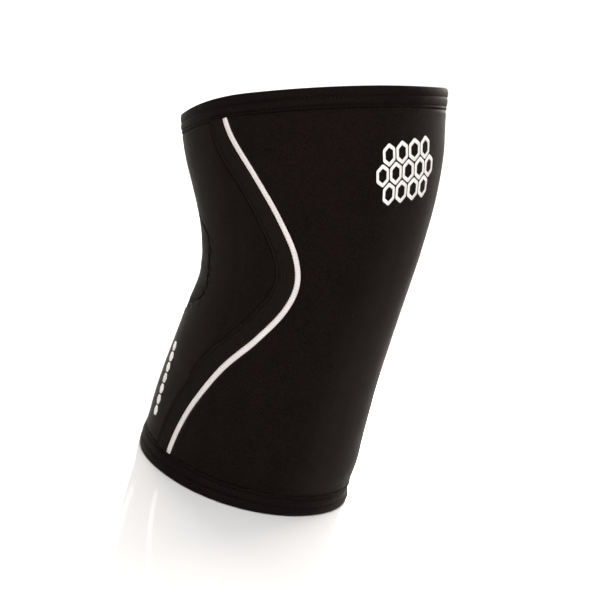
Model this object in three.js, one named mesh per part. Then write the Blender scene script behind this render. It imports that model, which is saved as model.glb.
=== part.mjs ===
import * as THREE from 'three';

// Knee sleeve of thick neoprene, bent as it is worn. Millimetres and degrees, +Z up.
// It stands on its lower rim: the shin part is upright, the thigh part leans back, towards +Y,
// the kneecap faces -Y and the wearer's right side is -X.

// Driving dimensions
const sleeveLength = 245; // along the middle line, from rim to rim
const kneeHeight = 158; // middle of the bend, along the middle line
const bendRun = 120; // length of middle line that bends
const bendAngle = 27;
const calfDepth = 132; // outside, front to back at the lower rim
const calfWidth = 137; // outside, side to side
const kneeDepth = 125.5;
const kneeWidth = 121;
const thighDepth = 169;
const thighWidth = 162;
const rimDip = 4.5; // the thigh rim is lower behind the leg
const wall = 5; // neoprene with its knit faces
const clearance = 0.3; // between any two pieces
const ribbonSink = 0.6; // how deep the undersides of bands, piping and hems lie below the neoprene's skin
const bandWidth = 11;
const bandProud = 0.4; // how far the band stands above the skin
const pipingWidth = 4;
const pipingProud = 0.7;
const hemHeight = 12;
const hemProud = 1; // at the hem's fattest ridge
const hemThickness = 1.2; // of the binding where it wraps the rim and lines the inside
const hemSlack = 0.5; // room between the neoprene and the hem's inside
const openingHeight = 95; // the knee hollow's opening, along the middle line
const openingSide = 31; // its straight side edges
const openingMiddle = 132.5; // middle of the side edges, along the middle line
const openingAngle = 136; // how far it reaches round the back of the leg
const hollowSink = 1.2; // how far the thin panel's face lies below the skin
const hollowThickness = 2;

// Outline of the leg. Each row is a section across the middle line: at is a share of sleeveLength, front and back
// are shares of the named depth, half is a share of the named width, and the rounds are superellipse exponents.
const sizes = {
  calf: { depth: calfDepth, width: calfWidth },
  knee: { depth: kneeDepth, width: kneeWidth },
  thigh: { depth: thighDepth, width: thighWidth },
};
const sections = [
  { at: 0.0, follows: 'calf', front: 0.478, back: 0.522, half: 0.5, frontRound: 2.1, backRound: 2.1 },
  { at: 0.2, follows: 'calf', front: 0.471, back: 0.537, half: 0.475, frontRound: 2.1, backRound: 2.1 },
  { at: 0.4, follows: 'knee', front: 0.49, back: 0.522, half: 0.508, frontRound: 2.1, backRound: 2.25 },
  { at: 0.52, follows: 'knee', front: 0.518, back: 0.49, half: 0.5, frontRound: 2.1, backRound: 2.35 },
  { at: 0.66, follows: 'knee', front: 0.575, back: 0.526, half: 0.545, frontRound: 2.1, backRound: 2.3 },
  { at: 0.84, follows: 'thigh', front: 0.482, back: 0.453, half: 0.472, frontRound: 2.1, backRound: 2.15 },
  { at: 1.0, follows: 'thigh', front: 0.509, back: 0.485, half: 0.498, frontRound: 2.1, backRound: 2.1 },
];

// Side seam, where the piping's middle runs: at is a share of sleeveLength, angle is counted from the front.
const seam = [
  { at: 0.0, angle: 97 },
  { at: 0.12, angle: 95.5 },
  { at: 0.21, angle: 91.5 },
  { at: 0.32, angle: 82.5 },
  { at: 0.43, angle: 67.5 },
  { at: 0.51, angle: 57.5 },
  { at: 0.57, angle: 54 },
  { at: 0.63, angle: 57 },
  { at: 0.71, angle: 66.5 },
  { at: 0.8, angle: 77 },
  { at: 0.9, angle: 87 },
  { at: 1.0, angle: 91 },
];

// Hem in section, from the edge on the skin round the rim to the edge inside: height is a share of hemHeight above
// the rim, proud a share of hemProud above the skin.
const hemRidges = [
  { height: 1.0, proud: 0.1 },
  { height: 0.94, proud: 0.5 },
  { height: 0.86, proud: 0.2 },
  { height: 0.72, proud: 0.8 },
  { height: 0.58, proud: 0.2 },
  { height: 0.42, proud: 0.9 },
  { height: 0.18, proud: 1.0 },
  { height: 0.05, proud: 0.6 },
];

// Faces are counted outwards from the neoprene's free skin, and lie at minus so much inside it.
const backFace = -wall;
const bedFace = -ribbonSink - clearance; // the neoprene is pressed down to here under bands, piping and hems
const slotFace = backFace + ribbonSink; // the inside of a hem's slot
const pressedBack = slotFace + hemSlack; // the neoprene's back face in that slot
const bandGap = clearance; // between piping and band
const bandFront = -pipingWidth / 2 - bandGap;
const bandRear = bandFront - bandWidth;
const bedFront = pipingWidth / 2 + clearance;
const bedRear = bandRear - clearance;
const joint = bandFront - bandWidth * 0.45; // where front and back panel meet, hidden under the band
const panelEnd = hemThickness + clearance + clearance; // the panels stop short of the rim inside the hem
const bedEnd = hemHeight + clearance; // the bed under the hem ends here
const openingLow = openingMiddle - openingSide / 2;
const openingHigh = openingMiddle + openingSide / 2;
const openingRise = (openingHeight - openingSide) / 2;

const lowRows = 12; // rows of facets below, beside and above the knee hollow
const sideRows = 4;
const highRows = 10;
const frontColumns = 18;
const backColumns = 2; // from the seam to the knee hollow
const archColumns = 7; // across half of the knee hollow
const hollowRows = 8;
const hemColumns = 56;

const toRadians = THREE.MathUtils.degToRad;
const toDegrees = THREE.MathUtils.radToDeg;
const mix = THREE.MathUtils.lerp;

// A smooth curve through the rows of a table, read at any share of the length.
function readTable(table, share, value) {
  const last = table.length - 1;
  let low = 0;
  while (low < last - 1 && table[low + 1].at < share) low += 1;
  const slope = (row) => {
    const before = table[Math.max(row - 1, 0)];
    const after = table[Math.min(row + 1, last)];
    return (value(after) - value(before)) / (after.at - before.at);
  };
  const run = table[low + 1].at - table[low].at;
  const t = THREE.MathUtils.clamp((share - table[low].at) / run, 0, 1);
  const rise = t * t * (3 - 2 * t);
  return (
    mix(value(table[low]), value(table[low + 1]), rise) +
    run * (slope(low) * t * (1 - t) ** 2 - slope(low + 1) * t ** 2 * (1 - t))
  );
}

// Middle line of the leg: straight, a round bend, straight again. It gives a point and how far the leg leans back.
function middleLine(along) {
  const bendStart = kneeHeight - bendRun / 2;
  const radius = bendRun / toRadians(bendAngle);
  const lean = toRadians(bendAngle) * THREE.MathUtils.clamp((along - bendStart) / bendRun, 0, 1);
  const beyond = Math.max(along - bendStart - bendRun, 0);
  const before = Math.min(along, bendStart);
  return {
    lean,
    y: radius * (1 - Math.cos(lean)) + beyond * Math.sin(lean),
    z: before + radius * Math.sin(lean) + beyond * Math.cos(lean),
  };
}

const signedPower = (value, power) => Math.sign(value) * Math.abs(value) ** power;

// How far the skin slides down the middle line to make the dip of the thigh rim.
function slide(along, angle) {
  const fromFront = toDegrees(Math.acos(Math.cos(toRadians(angle))));
  const behind = THREE.MathUtils.smoothstep(fromFront, 80, 125);
  return rimDip * behind * THREE.MathUtils.smoothstep(along / sleeveLength, 0.75, 1);
}

// A point at a distance along the middle line and an angle round it, counted from the front towards the right side.
// It lies proud of the outer skin, square to the middle line, so the lower rim stays flat.
function skinPoint(height, angle, proud = 0) {
  const along = height - slide(height, angle);
  const share = along / sleeveLength;
  const read = (value) => readTable(sections, share, value);
  const cosine = Math.cos(toRadians(angle));
  const sine = Math.sin(toRadians(angle));
  const forward = cosine > 0;
  const deep = read((row) => (forward ? row.front : row.back) * sizes[row.follows].depth);
  const half = read((row) => row.half * sizes[row.follows].width);
  const power = 2 / read((row) => (forward ? row.frontRound : row.backRound));
  const out = new THREE.Vector2(
    signedPower(sine, 2 - power) / half,
    signedPower(cosine, 2 - power) / deep,
  ).setLength(proud);
  const aside = half * signedPower(sine, power) + out.x;
  const ahead = deep * signedPower(cosine, power) + out.y;
  const { lean, y, z } = middleLine(along);
  return new THREE.Vector3(-aside, y - ahead * Math.cos(lean), z + ahead * Math.sin(lean));
}

const seamAngle = (along) => readTable(seam, along / sleeveLength, (row) => row.angle);

// The step from the seam's middle to a line 1 mm in front of it, along the skin and square to the seam.
function stepAside(along) {
  const angle = seamAngle(along);
  const up = skinPoint(along + 1, angle).sub(skinPoint(along - 1, angle)).divideScalar(2);
  const round = skinPoint(along, angle - 1).sub(skinPoint(along, angle + 1)).divideScalar(2);
  const turn = (seamAngle(along - 1) - seamAngle(along + 1)) / 2;
  const run = up.clone().addScaledVector(round, turn);
  const outward = round.clone().cross(up);
  const across = run.clone().cross(outward).normalize();
  const rise = across.dot(round.clone().cross(outward)) / up.dot(round.clone().cross(outward));
  const forward = across.dot(up.clone().cross(outward)) / round.dot(up.clone().cross(outward));
  return { rise, angle: -forward };
}

// The angle of a line that runs a few millimetres in front of the seam (or behind it, if negative).
function asideAngle(along, aside) {
  let foot = along;
  for (let turn = 0; turn < 8; turn += 1) foot = along - aside * stepAside(foot).rise;
  return seamAngle(foot) + aside * stepAside(foot).angle;
}

// A closed wall between an outer and an inner face that share one grid. place(row, column, inside) gives the
// points, and cells where present is false are left open right through.
function wallGeometry(rows, columns, place, present = () => true) {
  const positions = [];
  const numbers = new Map();
  const index = [];
  const vertex = (row, column, inside) => {
    const key = `${row},${column},${inside}`;
    if (!numbers.has(key)) {
      numbers.set(key, positions.length / 3);
      positions.push(...place(row, column, inside).toArray());
    }
    return numbers.get(key);
  };
  const quad = (a, b, c, d) => index.push(a, b, c, a, c, d);
  const open = (row, column) =>
    row < 0 || column < 0 || row >= rows - 1 || column >= columns - 1 || !present(row, column);
  for (let row = 0; row < rows - 1; row += 1) {
    for (let column = 0; column < columns - 1; column += 1) {
      if (open(row, column)) continue;
      const corners = [[row, column], [row, column + 1], [row + 1, column + 1], [row + 1, column]];
      const outer = corners.map(([r, c]) => vertex(r, c, false));
      const inner = corners.map(([r, c]) => vertex(r, c, true));
      quad(outer[0], outer[1], outer[2], outer[3]);
      quad(inner[3], inner[2], inner[1], inner[0]);
      const neighbours = [[row - 1, column], [row, column + 1], [row + 1, column], [row, column - 1]];
      neighbours.forEach(([r, c], side) => {
        const next = (side + 1) % 4;
        if (open(r, c)) quad(outer[side], inner[side], inner[next], outer[next]);
      });
    }
  }
  return facesOut(positions, index);
}

// A closed tube of a section with many points, swept round the leg.
function ringGeometry(count, profile, place) {
  const positions = [];
  const index = [];
  for (let turn = 0; turn < count; turn += 1) {
    for (const spot of profile) positions.push(...place((360 * turn) / count, spot).toArray());
  }
  const size = profile.length;
  for (let turn = 0; turn < count; turn += 1) {
    for (let spot = 0; spot < size; spot += 1) {
      const here = turn * size;
      const there = ((turn + 1) % count) * size;
      const next = (spot + 1) % size;
      index.push(here + spot, there + spot, there + next, here + spot, there + next, here + next);
    }
  }
  return facesOut(positions, index);
}

// An indexed geometry whose triangles face outwards, whichever way round its grid was walked.
function facesOut(positions, index) {
  const corner = (number) => new THREE.Vector3().fromArray(positions, 3 * number);
  let volume = 0;
  for (let i = 0; i < index.length; i += 3) {
    volume += corner(index[i]).dot(corner(index[i + 1]).cross(corner(index[i + 2])));
  }
  if (volume < 0) index.reverse();
  const geometry = new THREE.BufferGeometry();
  geometry.setAttribute('position', new THREE.Float32BufferAttribute(positions, 3));
  geometry.setIndex(index);
  geometry.computeVertexNormals();
  return geometry;
}

// Heights of the rows of facets that the panels, bands and piping share, from hem to hem. The knee hollow's arches
// push the rows below and above it apart.
function rowHeights(low = openingLow, high = openingHigh) {
  const heights = [];
  const bottom = bedEnd;
  const top = sleeveLength - bedEnd;
  for (let row = 0; row < lowRows; row += 1) heights.push(mix(bottom, low, row / lowRows));
  for (let row = 0; row < sideRows; row += 1) heights.push(mix(low, high, row / sideRows));
  for (let row = 0; row <= highRows; row += 1) heights.push(mix(high, top, row / highRows));
  return heights;
}

// A panel's rows reach on into both hems, where the neoprene is pressed thinner.
function panelRows(heights) {
  const top = sleeveLength;
  return [
    { along: panelEnd, pressed: true },
    { along: bedEnd, pressed: true },
    { along: bedEnd + clearance, pressed: false },
    ...heights.slice(1, -1).map((along) => ({ along, pressed: false })),
    { along: top - bedEnd - clearance, pressed: false },
    { along: top - bedEnd, pressed: true },
    { along: top - panelEnd, pressed: true },
  ];
}

function panelPoint(row, column, inside) {
  const outer = row.pressed || column.pressed ? bedFace : 0;
  const inner = row.pressed ? pressedBack : backFace;
  return skinPoint(row.along, column.angle(row.along), inside ? inner : outer);
}

// Columns of facets over the bed of a side seam, from the joint out to the free skin.
function seamColumns(side, near, edge) {
  const step = Math.sign(edge - near) * clearance;
  const column = (aside, pressed) => ({ angle: (along) => side * asideAngle(along, aside), pressed });
  return [column(near, true), column(edge, true), column(edge + step, false)];
}

function frontPanel() {
  const right = seamColumns(1, joint + clearance / 2, bedFront);
  const left = seamColumns(-1, joint + clearance / 2, bedFront).reverse();
  const middle = [];
  for (let step = 1; step < frontColumns; step += 1) {
    const angle = (along) => mix(right[2].angle(along), left[0].angle(along), step / frontColumns);
    middle.push({ angle, pressed: false });
  }
  const columns = [...right, ...middle, ...left];
  const rows = panelRows(rowHeights());
  return wallGeometry(rows.length, columns.length, (r, c, inside) => panelPoint(rows[r], columns[c], inside));
}

// The knee hollow's opening is an upright slot with round ends, mirrored about the middle of the back. Its arch runs
// from a side edge, turn 0, over the middle of the back, turn 90, to the other side edge, turn 180.
function archEdge(turn, inset = 0) {
  const millimetresPerDegree = toRadians(kneeWidth / 2);
  const reach = openingAngle / 2 - inset / millimetresPerDegree;
  const rise = (openingRise - inset) * Math.sin(toRadians(turn));
  return {
    angle: 180 - reach * Math.cos(toRadians(turn)),
    low: openingLow - rise + inset / 2,
    high: openingHigh + rise - inset / 2,
  };
}

function backPanel() {
  const right = seamColumns(1, joint - clearance / 2, bedRear);
  const left = seamColumns(-1, joint - clearance / 2, bedRear).reverse();
  const plainRows = panelRows(rowHeights());
  const columns = right.map((column) => ({ ...column, rows: plainRows }));
  const beside = (from, to) => {
    for (let step = 1; step < backColumns; step += 1) {
      const angle = (along) => mix(from(along), to(along), step / backColumns);
      columns.push({ angle, pressed: false, rows: plainRows });
    }
  };
  const nearEdge = archEdge(0).angle;
  beside(right[2].angle, () => nearEdge);
  const firstArch = columns.length;
  for (let step = 0; step <= 2 * archColumns; step += 1) {
    const edge = archEdge((90 * step) / archColumns);
    const even = mix(nearEdge, 360 - nearEdge, step / (2 * archColumns));
    const below = (along) => (edge.low - along) / edge.low;
    const above = (along) => (along - edge.high) / (sleeveLength - edge.high);
    const away = (along) => Math.max(below(along), above(along), 0);
    const angle = (along) => mix(edge.angle, even, away(along));
    columns.push({ angle, pressed: false, rows: panelRows(rowHeights(edge.low, edge.high)) });
  }
  const lastArch = columns.length - 1;
  const leftAngle = left.map((column) => (along) => 360 + column.angle(along));
  beside(() => 360 - nearEdge, leftAngle[0]);
  left.forEach((column, i) => columns.push({ angle: leftAngle[i], pressed: column.pressed, rows: plainRows }));
  const lowEdge = plainRows.findIndex((row) => row.along === openingLow);
  const inOpening = (row, column) =>
    column >= firstArch && column < lastArch && row >= lowEdge && row < lowEdge + sideRows;
  const place = (r, c, inside) => panelPoint(columns[c].rows[r], columns[c], inside);
  return wallGeometry(plainRows.length, columns.length, place, (r, c) => !inOpening(r, c));
}

function kneeHollowPanel() {
  return wallGeometry(hollowRows + 1, 2 * archColumns + 1, (row, column, inside) => {
    const edge = archEdge((90 * column) / archColumns, clearance);
    const along = mix(edge.low, edge.high, row / hollowRows);
    return skinPoint(along, edge.angle, inside ? -hollowSink - hollowThickness : -hollowSink);
  });
}

// A flat ribbon along the side seam, between the hems: ridges give its top face from rear to front.
function ribbon(side, ridges) {
  const heights = rowHeights();
  return wallGeometry(heights.length, ridges.length, (row, column, inside) => {
    const ridge = ridges[column];
    const angle = side * asideAngle(heights[row], ridge.aside);
    return skinPoint(heights[row], angle, inside ? -ribbonSink : ridge.proud);
  });
}

function sideBand(side) {
  const edge = bandWidth * 0.06;
  return ribbon(side, [
    { aside: bandRear, proud: 0 },
    { aside: bandRear + edge, proud: bandProud },
    { aside: joint, proud: bandProud },
    { aside: bandFront - edge, proud: bandProud },
    { aside: bandFront, proud: 0 },
  ]);
}

function sidePiping(side) {
  const half = pipingWidth / 2;
  return ribbon(side, [
    { aside: -half, proud: 0 },
    { aside: -half * 0.6, proud: pipingProud * 0.75 },
    { aside: 0, proud: pipingProud },
    { aside: half * 0.6, proud: pipingProud * 0.75 },
    { aside: half, proud: 0 },
  ]);
}

// A hem round a rim: the ridged leg outside, the flat rim, the leg inside and the slot that holds the panels.
function hem(rim, inward) {
  const slotOut = -ribbonSink;
  const inner = slotFace - hemThickness;
  const slotFloor = hemThickness + clearance;
  const flat = hemProud + hemThickness * 0.3; // how far the round edges of the rim reach
  const profile = [
    ...hemRidges.map((ridge) => ({ height: ridge.height * hemHeight, proud: ridge.proud * hemProud })),
    { height: 0, proud: -hemProud / 2 },
    { height: 0, proud: backFace + flat },
    { height: 0.08 * hemHeight, proud: inner },
    { height: 0.96 * hemHeight, proud: inner },
    { height: hemHeight, proud: slotFace - clearance },
    { height: hemHeight, proud: slotFace },
    { height: slotFloor, proud: slotFace },
    { height: slotFloor, proud: slotOut },
    { height: hemHeight, proud: slotOut },
  ];
  return ringGeometry(hemColumns, profile, (angle, spot) =>
    skinPoint(rim + inward * spot.height, angle, spot.proud),
  );
}

const sleeve = new THREE.Group();

function add(name, geometry, finish) {
  const mesh = new THREE.Mesh(geometry, new THREE.MeshStandardMaterial(finish));
  mesh.name = name;
  sleeve.add(mesh);
}

const neoprene = { color: 0x201c1a, roughness: 0.85, metalness: 0 };
const bandFabric = { color: 0x24221f, roughness: 0.75, metalness: 0 };
const hollowFabric = { color: 0x2a2522, roughness: 0.9, metalness: 0 };
const whiteTrim = { color: 0xded6d2, roughness: 0.6, metalness: 0 };
const binding = { color: 0x1e1b19, roughness: 0.8, metalness: 0 };

add('front_panel', frontPanel(), neoprene);
add('back_panel', backPanel(), neoprene);
add('knee_hollow_panel', kneeHollowPanel(), hollowFabric);
for (const [name, side] of [['right', 1], ['left', -1]]) {
  add(`side_band_${name}`, sideBand(side), bandFabric);
  add(`side_piping_${name}`, sidePiping(side), whiteTrim);
}
add('top_hem', hem(sleeveLength, -1), binding);
add('bottom_hem', hem(0, 1), binding);

// The origin is under the middle of the sleeve's box, on the surface that it stands on.
const box = new THREE.Box3().setFromObject(sleeve);
sleeve.position.y = -(box.min.y + box.max.y) / 2;

export default sleeve;
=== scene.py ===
import math
from functools import lru_cache, partial

import bmesh
import bpy
from mathutils import Matrix, Vector, noise


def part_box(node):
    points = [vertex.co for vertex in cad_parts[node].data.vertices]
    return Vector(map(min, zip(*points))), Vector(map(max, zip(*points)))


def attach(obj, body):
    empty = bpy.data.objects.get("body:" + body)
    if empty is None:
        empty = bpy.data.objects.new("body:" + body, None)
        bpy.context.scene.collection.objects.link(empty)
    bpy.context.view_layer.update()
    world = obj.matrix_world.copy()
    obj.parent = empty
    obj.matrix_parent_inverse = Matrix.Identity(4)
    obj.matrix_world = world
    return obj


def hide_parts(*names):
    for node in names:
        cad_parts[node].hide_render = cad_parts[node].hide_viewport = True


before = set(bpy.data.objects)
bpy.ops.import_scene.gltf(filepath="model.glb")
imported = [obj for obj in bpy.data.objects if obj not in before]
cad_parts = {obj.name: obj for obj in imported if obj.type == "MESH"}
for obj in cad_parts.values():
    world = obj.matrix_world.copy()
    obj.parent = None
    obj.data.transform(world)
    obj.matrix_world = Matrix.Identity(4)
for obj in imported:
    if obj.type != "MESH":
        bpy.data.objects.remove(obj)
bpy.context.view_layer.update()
mm = 0.001
noise.seed_set(7)
print("frame loaded:", ", ".join(sorted(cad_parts)))


def tableOf(columns, *rows):
    return [dict(zip(columns.split(), row)) for row in rows]


# The leg's form, as the sleeve keeps it. Heights run along the middle line, from the lower rim.
leg = {
    "length": 245 * mm,
    "kneeHeight": 158 * mm,  # middle of the bend
    "bendRun": 120 * mm,
    "bendAngle": math.radians(27),
    "rimDip": 4.5 * mm,  # the thigh rim is lower behind the leg
    "dipAngles": (80, 125),
    "dipShares": (0.75, 1),
    "wall": 5 * mm,
    "frontRound": 2.1,  # exponent of the front half's curve: 2 is an ellipse
    "clothRadius": 62 * mm,  # turns angles into lengths round the cloth
    "softness": 0.22 * mm,  # slow unevenness of the skin
    "softnessSize": 26 * mm,
}
# where the rims turn in, and how far they rise or fall there
rimFolds = tableOf(
    "angle spread height reach turnedIn rise",
    (-42, 27, 8 * mm, 4.5 * mm, 1.5 * mm, 0),
    (-40, 22, 245 * mm, 20 * mm, 0.3 * mm, 1.8 * mm),
    (138, 28, 244 * mm, 9 * mm, 1.7 * mm, -0.8 * mm),
)
girths = {
    "calf": {"depth": 132 * mm, "width": 137 * mm},
    "knee": {"depth": 125.5 * mm, "width": 121 * mm},
    "thigh": {"depth": 169 * mm, "width": 162 * mm},
}
# at is a share of the length, front and back of the girth's depth, and half of its width
sections = tableOf(
    "at follows front back half backRound",
    (0.0, "calf", 0.478, 0.522, 0.5, 2.1),
    (0.2, "calf", 0.471, 0.537, 0.475, 2.1),
    (0.4, "knee", 0.49, 0.522, 0.508, 2.25),
    (0.52, "knee", 0.518, 0.49, 0.5, 2.35),
    (0.66, "knee", 0.575, 0.526, 0.545, 2.3),
    (0.84, "thigh", 0.482, 0.453, 0.472, 2.15),
    (1.0, "thigh", 0.509, 0.485, 0.498, 2.1),
)
for row in sections:
    row["front"] *= girths[row["follows"]]["depth"]
    row["back"] *= girths[row["follows"]]["depth"]
    row["half"] *= girths[row["follows"]]["width"]
# where the piping's middle runs: angle is counted in degrees from the front
seam = tableOf(
    "at angle",
    (0.0, 97),
    (0.12, 95.5),
    (0.21, 91.5),
    (0.32, 82.5),
    (0.43, 67.5),
    (0.51, 57.5),
    (0.57, 54),
    (0.63, 57),
    (0.71, 66.5),
    (0.8, 77),
    (0.9, 87),
    (1.0, 91),
)
ribbons = {
    "sink": 0.6 * mm,  # undersides of band, piping and hems below the skin
    "clearance": 0.3 * mm,
    "pipingWidth": 4 * mm,
    "bandWidth": 11 * mm,
    "jointGap": 0.15 * mm,  # the panels meet under the band
}
bed = -ribbons["sink"] - ribbons["clearance"]
bandFront = -ribbons["pipingWidth"] / 2 - ribbons["clearance"]
bandRear = bandFront - ribbons["bandWidth"]
joint = bandFront - 0.45 * ribbons["bandWidth"]
bedFront = ribbons["pipingWidth"] / 2 + ribbons["clearance"]
bedRear = bandRear - ribbons["clearance"]
hemShape = {
    "height": 12.8 * mm,
    "proud": 1 * mm,
    "thickness": 1.2 * mm,
    "columns": 396,
    "round": 390 * mm,
    "stitches": 198,  # round each rim, along the free edge
    "puff": 0.07 * mm,
    # where the stitching pinches it: share of the height, half width, depth
    "pinches": ((0.445, 0.7 * mm, 0.2 * mm), (0.935, 0.45 * mm, 0.16 * mm), (0.866, 0.4 * mm, 0.3 * mm)),
}
bedEnd = hemShape["height"] + ribbons["clearance"]
panelEnd = hemShape["thickness"] + 2 * ribbons["clearance"]
slotFace = ribbons["sink"] - leg["wall"]
# the opening behind the knee: straight sides, round above, slanted corners beside a round middle below
opening = {
    "low": 117 * mm,
    "high": 148 * mm,
    "rise": 32 * mm,
    "fall": 41 * mm,
    "reach": 68,  # degrees either side of the middle of the back
    "power": 1.4,  # of the lower corners: 2 would be half an ellipse, 1 straight slants
    "perDegree": 1.056 * mm,
    # depth and size of the edge's unevenness, and of the crumpling beside it
    "waves": ((1.7 * mm, 7.5 * mm), (1 * mm, 3.2 * mm)),
    "puckers": ((0.75 * mm, 3.1 * mm), (0.375 * mm, 1.4 * mm)),
    "puckerReach": 4.2 * mm,
    "roll": 2.4 * mm,  # how deep the panel's edge rolls in, and over what width
    "rollReach": 0.9 * mm,
    "innerLip": 0.5 * mm,
    "innerLipReach": 1 * mm,
    "trimmedAt": 2.6 * mm,
    "lips": [1.6 * mm, 1.1 * mm, 0.8 * mm, 0.5 * mm, 0.22 * mm, 0.04 * mm],
}


def readTable(table, share, column):
    last = len(table) - 1
    low = 0
    while low < last - 1 and table[low + 1]["at"] < share:
        low += 1

    def slope(row):
        before, after = table[max(row - 1, 0)], table[min(row + 1, last)]
        return (after[column] - before[column]) / (after["at"] - before["at"])

    run = table[low + 1]["at"] - table[low]["at"]
    t = min(max((share - table[low]["at"]) / run, 0), 1)
    start, end = table[low][column], table[low + 1][column]
    rise = t * t * (3 - 2 * t)
    bend = slope(low) * t * (1 - t) ** 2 - slope(low + 1) * t * t * (1 - t)
    return start + (end - start) * rise + run * bend


def smoothStep(value, low, high):
    t = min(max((value - low) / (high - low), 0), 1)
    return t * t * (3 - 2 * t)


def signedPower(value, power):
    return math.copysign(abs(value) ** power, value)


def bell(value, middle, width):  # one at the middle, next to nothing at twice the width
    return math.exp(-(((value - middle) / width) ** 2))


def edgeRound(gap, reach):  # one at an edge, falling to nothing along a quarter circle
    t = min(max(gap / reach, 0), 1)
    return 1 - math.sqrt(1 - (1 - t) ** 2)


def turnFrom(angle, middle):
    return (angle - middle + 180) % 360 - 180


@lru_cache(maxsize=None)
def sectionAt(along):
    share = along / leg["length"]
    form = {column: readTable(sections, share, column) for column in ("front", "back", "half", "backRound")}
    bendStart = leg["kneeHeight"] - leg["bendRun"] / 2
    radius = leg["bendRun"] / leg["bendAngle"]
    lean = leg["bendAngle"] * min(max((along - bendStart) / leg["bendRun"], 0), 1)
    beyond = max(along - bendStart - leg["bendRun"], 0)
    form["sinLean"], form["cosLean"] = math.sin(lean), math.cos(lean)
    form["y"] = radius * (1 - math.cos(lean)) + beyond * math.sin(lean)
    form["z"] = min(along, bendStart) + radius * math.sin(lean) + beyond * math.cos(lean)
    return form


def bareSkin(height, angle, proud=0.0):
    sine, cosine = math.sin(math.radians(angle)), math.cos(math.radians(angle))
    fromFront = math.degrees(math.acos(cosine))
    dip = smoothStep(fromFront, *leg["dipAngles"]) * smoothStep(height / leg["length"], *leg["dipShares"])
    form = sectionAt(round(height - leg["rimDip"] * dip, 5))
    forward = cosine > 0
    deep = form["front" if forward else "back"]
    power = 2 / (leg["frontRound"] if forward else form["backRound"])
    out = Vector((signedPower(sine, 2 - power) / form["half"], signedPower(cosine, 2 - power) / deep))
    out.normalize()
    aside = form["half"] * signedPower(sine, power) + out.x * proud
    ahead = deep * signedPower(cosine, power) + out.y * proud
    return Vector((-aside, form["y"] - ahead * form["cosLean"], form["z"] + ahead * form["sinLean"]))


# the frame was centred on its box: the lower hem's front edge shows by how much
hemFront = min(bareSkin(share * hemShape["height"], 0, hemShape["proud"]).y for share in (0.18, 0.42))
originShift = Vector((0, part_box("bottom_hem")[0].y - hemFront, 0))


def skin(height, angle, proud=0.0):
    place = bareSkin(height, angle) / leg["softnessSize"]
    settled = smoothStep(height, 4 * mm, 30 * mm)
    uneven = leg["softness"] * settled * (noise.noise(place) + 0.35 * noise.noise(place * 2.7))
    rise = 0
    for fold in rimFolds:
        if abs(height - fold["height"]) < 2.5 * fold["reach"]:
            share = bell(turnFrom(angle, fold["angle"]), 0, fold["spread"])
            share *= bell(height, fold["height"], fold["reach"])
            uneven -= fold["turnedIn"] * share
            rise += fold["rise"] * share
    return bareSkin(height + rise, angle, proud + uneven) + originShift


def seamAngle(height):
    return readTable(seam, height / leg["length"], "angle")


@lru_cache(maxsize=None)
def exactStep(millimetre):
    height, small = millimetre * mm, 1 * mm
    angle = seamAngle(height)
    up = (bareSkin(height + small, angle) - bareSkin(height - small, angle)) / (2 * small)
    around = (bareSkin(height, angle - 1) - bareSkin(height, angle + 1)) / 2
    turn = (seamAngle(height - small) - seamAngle(height + small)) / (2 * small)
    outward = around.cross(up)
    across = (up + around * turn).cross(outward).normalized()
    side, rise = around.cross(outward), up.cross(outward)
    return across.dot(side) / up.dot(side), -across.dot(rise) / around.dot(rise)


def stepAside(height):  # rise and turn for each metre across the ribbons, read between whole millimetres
    below = math.floor(height / mm)
    share = height / mm - below
    return [a + (b - a) * share for a, b in zip(exactStep(below), exactStep(below + 1))]


@lru_cache(maxsize=None)
def asideAngle(height, aside):  # the angle of a line that runs that far in front of the seam
    foot = height
    for turn in range(6):
        foot = height - aside * stepAside(foot)[0]
    return seamAngle(foot) + aside * stepAside(foot)[1]


def openingDistance(height, angle):  # metres outside the edge of the opening behind the knee
    across = abs(angle - 180) / opening["reach"]
    below = height < opening["low"]
    rise = opening["fall" if below else "rise"]
    beyond = max(height - opening["high"], opening["low"] - height, 0) / rise
    straight = 2 - opening["power"]  # the lower end: slants beside a round middle
    power = 2 - straight * smoothStep(across, 0, 0.5) if below else 2
    size = (across**power + beyond**power) ** (1 / power)
    if size < 0.2:
        return -opening["rise"]
    sideways = (across / size) ** (power - 1) / (opening["reach"] * opening["perDegree"])
    steep = math.hypot(sideways, (beyond / size) ** (power - 1) / rise)
    return (size - 1) / steep


def meshFrom(bm, name):
    mesh = bpy.data.meshes.new(name)
    bm.to_mesh(mesh)
    bm.free()
    return mesh


def addObject(name, data):
    made = bpy.data.objects.new(name, data)
    bpy.context.scene.collection.objects.link(made)
    return made


def addPiece(bm, name, material, replaced=None):
    mesh = meshFrom(bm, name)
    for face in mesh.polygons:
        face.use_smooth = True
    mesh.materials.append(material)
    piece = addObject(name, mesh)
    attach(piece, "root")
    if replaced:
        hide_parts(replaced)
    return piece


def flatCloth(columns, rows, spread):
    # spread(column, row) gives the angle, the height and a third number that the piece needs later
    bm = bmesh.new()
    bmesh.ops.create_grid(bm, x_segments=columns, y_segments=rows, size=0.5)
    layers = [bm.verts.layers.float.new(name) for name in ("angle", "height", "across")]
    for vert in bm.verts:
        values = spread(round((vert.co.x + 0.5) * columns), round((vert.co.y + 0.5) * rows))
        for layer, value in zip(layers, values):
            vert[layer] = value
    return bm


def clothLayers(bm):
    return [bm.verts.layers.float[name] for name in ("angle", "height", "across")]


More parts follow.
